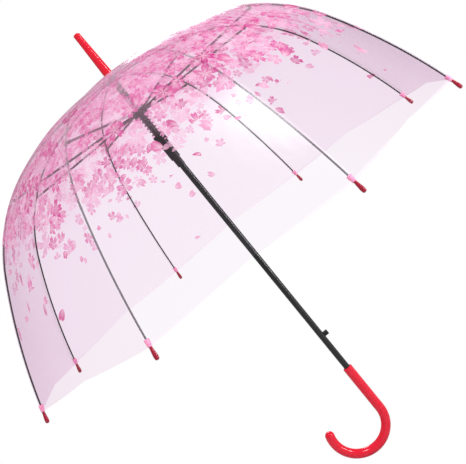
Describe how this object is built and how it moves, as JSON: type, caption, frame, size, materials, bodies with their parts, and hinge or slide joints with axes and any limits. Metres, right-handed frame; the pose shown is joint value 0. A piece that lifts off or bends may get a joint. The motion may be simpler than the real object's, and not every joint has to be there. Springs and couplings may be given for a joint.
{
  "type": "clear bubble umbrella",
  "caption": "Dome-shaped umbrella of clear printed film on jointed wire ribs, with a sprung sliding runner, a push-button release and a crook handle.",
  "frame": {"origin": "middle of the straight grip, on the shaft's axis, where a hand holds it", "axes": "+Z along the shaft towards the ferrule, +X on the release button's side and away from the crook's hook"},
  "size_m": [0.7422, 0.7422, 0.8002],
  "materials": {
    "crimson_plastic": "glossy moulded crimson",
    "pink_plastic": "translucent pink moulding",
    "tip_plastic": "glossy dark crimson",
    "black_plastic": "black moulded nylon",
    "black_metal": "gloss black enamel on steel",
    "spring_steel": "bare spring wire",
    "clear_film": "clear film with a printed blossom pattern"
  },
  "bodies": {
    "root": {"grip": "crimson_plastic", "shaft": "black_metal", "ferrule": "crimson_plastic", "crown_cap": "pink_plastic", "top_notch": "black_plastic", "latch_spring": "spring_steel"},
    "runner": {"runner": "black_plastic", "opening_spring": "spring_steel"},
    "collar": {"stretcher_collar": "black_plastic"},
    "button": {"release_button": "black_plastic"},
    "rib_upper_1": {"rib_upper_1": "black_metal", "film_crown_1": "clear_film"},
    "rib_lower_1": {"rib_lower_1": "black_metal", "rib_tip_1": "tip_plastic", "film_skirt_1": "clear_film"},
    "stretcher_1": {"stretcher_1": "black_metal"},
    "rib_upper_2": {"rib_upper_2": "black_metal", "film_crown_2": "clear_film"},
    "rib_lower_2": {"rib_lower_2": "black_metal", "rib_tip_2": "tip_plastic", "film_skirt_2": "clear_film"},
    "stretcher_2": {"stretcher_2": "black_metal"},
    "rib_upper_3": {"rib_upper_3": "black_metal", "film_crown_3": "clear_film"},
    "rib_lower_3": {"rib_lower_3": "black_metal", "rib_tip_3": "tip_plastic", "film_skirt_3": "clear_film"},
    "stretcher_3": {"stretcher_3": "black_metal"},
    "rib_upper_4": {"rib_upper_4": "black_metal", "film_crown_4": "clear_film"},
    "rib_lower_4": {"rib_lower_4": "black_metal", "rib_tip_4": "tip_plastic", "film_skirt_4": "clear_film"},
    "stretcher_4": {"stretcher_4": "black_metal"},
    "rib_upper_5": {"rib_upper_5": "black_metal", "film_crown_5": "clear_film"},
    "rib_lower_5": {"rib_lower_5": "black_metal", "rib_tip_5": "tip_plastic", "film_skirt_5": "clear_film"},
    "stretcher_5": {"stretcher_5": "black_metal"},
    "rib_upper_6": {"rib_upper_6": "black_metal", "film_crown_6": "clear_film"},
    "rib_lower_6": {"rib_lower_6": "black_metal", "rib_tip_6": "tip_plastic", "film_skirt_6": "clear_film"},
    "stretcher_6": {"stretcher_6": "black_metal"},
    "rib_upper_7": {"rib_upper_7": "black_metal", "film_crown_7": "clear_film"},
    "rib_lower_7": {"rib_lower_7": "black_metal", "rib_tip_7": "tip_plastic", "film_skirt_7": "clear_film"},
    "stretcher_7": {"stretcher_7": "black_metal"},
    "rib_upper_8": {"rib_upper_8": "black_metal", "film_crown_8": "clear_film"},
    "rib_lower_8": {"rib_lower_8": "black_metal", "rib_tip_8": "tip_plastic", "film_skirt_8": "clear_film"},
    "stretcher_8": {"stretcher_8": "black_metal"}
  },
  "joints": [
    {"name": "runner_slide", "type": "slide", "parent": "root", "child": "runner", "axis": [0, 0, 1], "range_m": [-0.36787, 0], "stiffness_N_per_m": 13, "springref_m": 0.239},
    {"name": "collar_slide", "type": "slide", "parent": "runner", "child": "collar", "axis": [0, 0, 1], "range_m": [-0.0271, 0], "deforming": ["opening_spring"]},
    {"name": "button_press", "type": "slide", "parent": "root", "child": "button", "axis": [-1, 0, 0], "range_m": [0, 0.0025], "stiffness_N_per_m": 400},
    {"name": "rib_fold_1", "type": "hinge", "parent": "root", "child": "rib_upper_1", "pos_m": [0.00924, 0.00383, 0.618], "axis": [-0.3827, 0.9239, 0], "range_deg": [0, 75.02], "deforming": ["film_crown_1"]},
    {"name": "rib_bend_1", "type": "hinge", "parent": "rib_upper_1", "child": "rib_lower_1", "pos_m": [0.22638, 0.09377, 0.55807], "axis": [-0.3827, 0.9239, 0], "range_deg": [-45.36, 0], "deforming": ["film_skirt_1"]},
    {"name": "stretcher_fold_1", "type": "hinge", "parent": "collar", "child": "stretcher_1", "pos_m": [0.00878, 0.00364, 0.554], "axis": [-0.3827, 0.9239, 0], "range_deg": [-87.85, 0]},
    {"name": "rib_fold_2", "type": "hinge", "parent": "root", "child": "rib_upper_2", "pos_m": [0.00383, 0.00924, 0.618], "axis": [-0.9239, 0.3827, 0], "range_deg": [0, 75.02], "deforming": ["film_crown_2"]},
    {"name": "rib_bend_2", "type": "hinge", "parent": "rib_upper_2", "child": "rib_lower_2", "pos_m": [0.09377, 0.22638, 0.55807], "axis": [-0.9239, 0.3827, 0], "range_deg": [-45.36, 0], "deforming": ["film_skirt_2"]},
    {"name": "stretcher_fold_2", "type": "hinge", "parent": "collar", "child": "stretcher_2", "pos_m": [0.00364, 0.00878, 0.554], "axis": [-0.9239, 0.3827, 0], "range_deg": [-87.85, 0]},
    {"name": "rib_fold_3", "type": "hinge", "parent": "root", "child": "rib_upper_3", "pos_m": [-0.00383, 0.00924, 0.618], "axis": [-0.9239, -0.3827, 0], "range_deg": [0, 75.02], "deforming": ["film_crown_3"]},
    {"name": "rib_bend_3", "type": "hinge", "parent": "rib_upper_3", "child": "rib_lower_3", "pos_m": [-0.09377, 0.22638, 0.55807], "axis": [-0.9239, -0.3827, 0], "range_deg": [-45.36, 0], "deforming": ["film_skirt_3"]},
    {"name": "stretcher_fold_3", "type": "hinge", "parent": "collar", "child": "stretcher_3", "pos_m": [-0.00364, 0.00878, 0.554], "axis": [-0.9239, -0.3827, 0], "range_deg": [-87.85, 0]},
    {"name": "rib_fold_4", "type": "hinge", "parent": "root", "child": "rib_upper_4", "pos_m": [-0.00924, 0.00383, 0.618], "axis": [-0.3827, -0.9239, 0], "range_deg": [0, 75.02], "deforming": ["film_crown_4"]},
    {"name": "rib_bend_4", "type": "hinge", "parent": "rib_upper_4", "child": "rib_lower_4", "pos_m": [-0.22638, 0.09377, 0.55807], "axis": [-0.3827, -0.9239, 0], "range_deg": [-45.36, 0], "deforming": ["film_skirt_4"]},
    {"name": "stretcher_fold_4", "type": "hinge", "parent": "collar", "child": "stretcher_4", "pos_m": [-0.00878, 0.00364, 0.554], "axis": [-0.3827, -0.9239, 0], "range_deg": [-87.85, 0]},
    {"name": "rib_fold_5", "type": "hinge", "parent": "root", "child": "rib_upper_5", "pos_m": [-0.00924, -0.00383, 0.618], "axis": [0.3827, -0.9239, 0], "range_deg": [0, 75.02], "deforming": ["film_crown_5"]},
    {"name": "rib_bend_5", "type": "hinge", "parent": "rib_upper_5", "child": "rib_lower_5", "pos_m": [-0.22638, -0.09377, 0.55807], "axis": [0.3827, -0.9239, 0], "range_deg": [-45.36, 0], "deforming": ["film_skirt_5"]},
    {"name": "stretcher_fold_5", "type": "hinge", "parent": "collar", "child": "stretcher_5", "pos_m": [-0.00878, -0.00364, 0.554], "axis": [0.3827, -0.9239, 0], "range_deg": [-87.85, 0]},
    {"name": "rib_fold_6", "type": "hinge", "parent": "root", "child": "rib_upper_6", "pos_m": [-0.00383, -0.00924, 0.618], "axis": [0.9239, -0.3827, 0], "range_deg": [0, 75.02], "deforming": ["film_crown_6"]},
    {"name": "rib_bend_6", "type": "hinge", "parent": "rib_upper_6", "child": "rib_lower_6", "pos_m": [-0.09377, -0.22638, 0.55807], "axis": [0.9239, -0.3827, 0], "range_deg": [-45.36, 0], "deforming": ["film_skirt_6"]},
    {"name": "stretcher_fold_6", "type": "hinge", "parent": "collar", "child": "stretcher_6", "pos_m": [-0.00364, -0.00878, 0.554], "axis": [0.9239, -0.3827, 0], "range_deg": [-87.85, 0]},
    {"name": "rib_fold_7", "type": "hinge", "parent": "root", "child": "rib_upper_7", "pos_m": [0.00383, -0.00924, 0.618], "axis": [0.9239, 0.3827, 0], "range_deg": [0, 75.02], "deforming": ["film_crown_7"]},
    {"name": "rib_bend_7", "type": "hinge", "parent": "rib_upper_7", "child": "rib_lower_7", "pos_m": [0.09377, -0.22638, 0.55807], "axis": [0.9239, 0.3827, 0], "range_deg": [-45.36, 0], "deforming": ["film_skirt_7"]},
    {"name": "stretcher_fold_7", "type": "hinge", "parent": "collar", "child": "stretcher_7", "pos_m": [0.00364, -0.00878, 0.554], "axis": [0.9239, 0.3827, 0], "range_deg": [-87.85, 0]},
    {"name": "rib_fold_8", "type": "hinge", "parent": "root", "child": "rib_upper_8", "pos_m": [0.00924, -0.00383, 0.618], "axis": [0.3827, 0.9239, 0], "range_deg": [0, 75.02], "deforming": ["film_crown_8"]},
    {"name": "rib_bend_8", "type": "hinge", "parent": "rib_upper_8", "child": "rib_lower_8", "pos_m": [0.22638, -0.09377, 0.55807], "axis": [0.3827, 0.9239, 0], "range_deg": [-45.36, 0], "deforming": ["film_skirt_8"]},
    {"name": "stretcher_fold_8", "type": "hinge", "parent": "collar", "child": "stretcher_8", "pos_m": [0.00878, -0.00364, 0.554], "axis": [0.3827, 0.9239, 0], "range_deg": [-87.85, 0]}
  ],
  "couplings": [
    {"joint": "collar_slide", "follows": "runner_slide", "ratio": 0.073395},
    {"joint": "rib_fold_1", "follows": "runner_slide", "rad_per_m": -3.5577},
    {"joint": "rib_bend_1", "follows": "runner_slide", "rad_per_m": 2.1508},
    {"joint": "stretcher_fold_1", "follows": "runner_slide", "rad_per_m": 4.1659},
    {"joint": "rib_fold_2", "follows": "runner_slide", "rad_per_m": -3.5577},
    {"joint": "rib_bend_2", "follows": "runner_slide", "rad_per_m": 2.1508},
    {"joint": "stretcher_fold_2", "follows": "runner_slide", "rad_per_m": 4.1659},
    {"joint": "rib_fold_3", "follows": "runner_slide", "rad_per_m": -3.5577},
    {"joint": "rib_bend_3", "follows": "runner_slide", "rad_per_m": 2.1508},
    {"joint": "stretcher_fold_3", "follows": "runner_slide", "rad_per_m": 4.1659},
    {"joint": "rib_fold_4", "follows": "runner_slide", "rad_per_m": -3.5577},
    {"joint": "rib_bend_4", "follows": "runner_slide", "rad_per_m": 2.1508},
    {"joint": "stretcher_fold_4", "follows": "runner_slide", "rad_per_m": 4.1659},
    {"joint": "rib_fold_5", "follows": "runner_slide", "rad_per_m": -3.5577},
    {"joint": "rib_bend_5", "follows": "runner_slide", "rad_per_m": 2.1508},
    {"joint": "stretcher_fold_5", "follows": "runner_slide", "rad_per_m": 4.1659},
    {"joint": "rib_fold_6", "follows": "runner_slide", "rad_per_m": -3.5577},
    {"joint": "rib_bend_6", "follows": "runner_slide", "rad_per_m": 2.1508},
    {"joint": "stretcher_fold_6", "follows": "runner_slide", "rad_per_m": 4.1659},
    {"joint": "rib_fold_7", "follows": "runner_slide", "rad_per_m": -3.5577},
    {"joint": "rib_bend_7", "follows": "runner_slide", "rad_per_m": 2.1508},
    {"joint": "stretcher_fold_7", "follows": "runner_slide", "rad_per_m": 4.1659},
    {"joint": "rib_fold_8", "follows": "runner_slide", "rad_per_m": -3.5577},
    {"joint": "rib_bend_8", "follows": "runner_slide", "rad_per_m": 2.1508},
    {"joint": "stretcher_fold_8", "follows": "runner_slide", "rad_per_m": 4.1659}
  ]
}
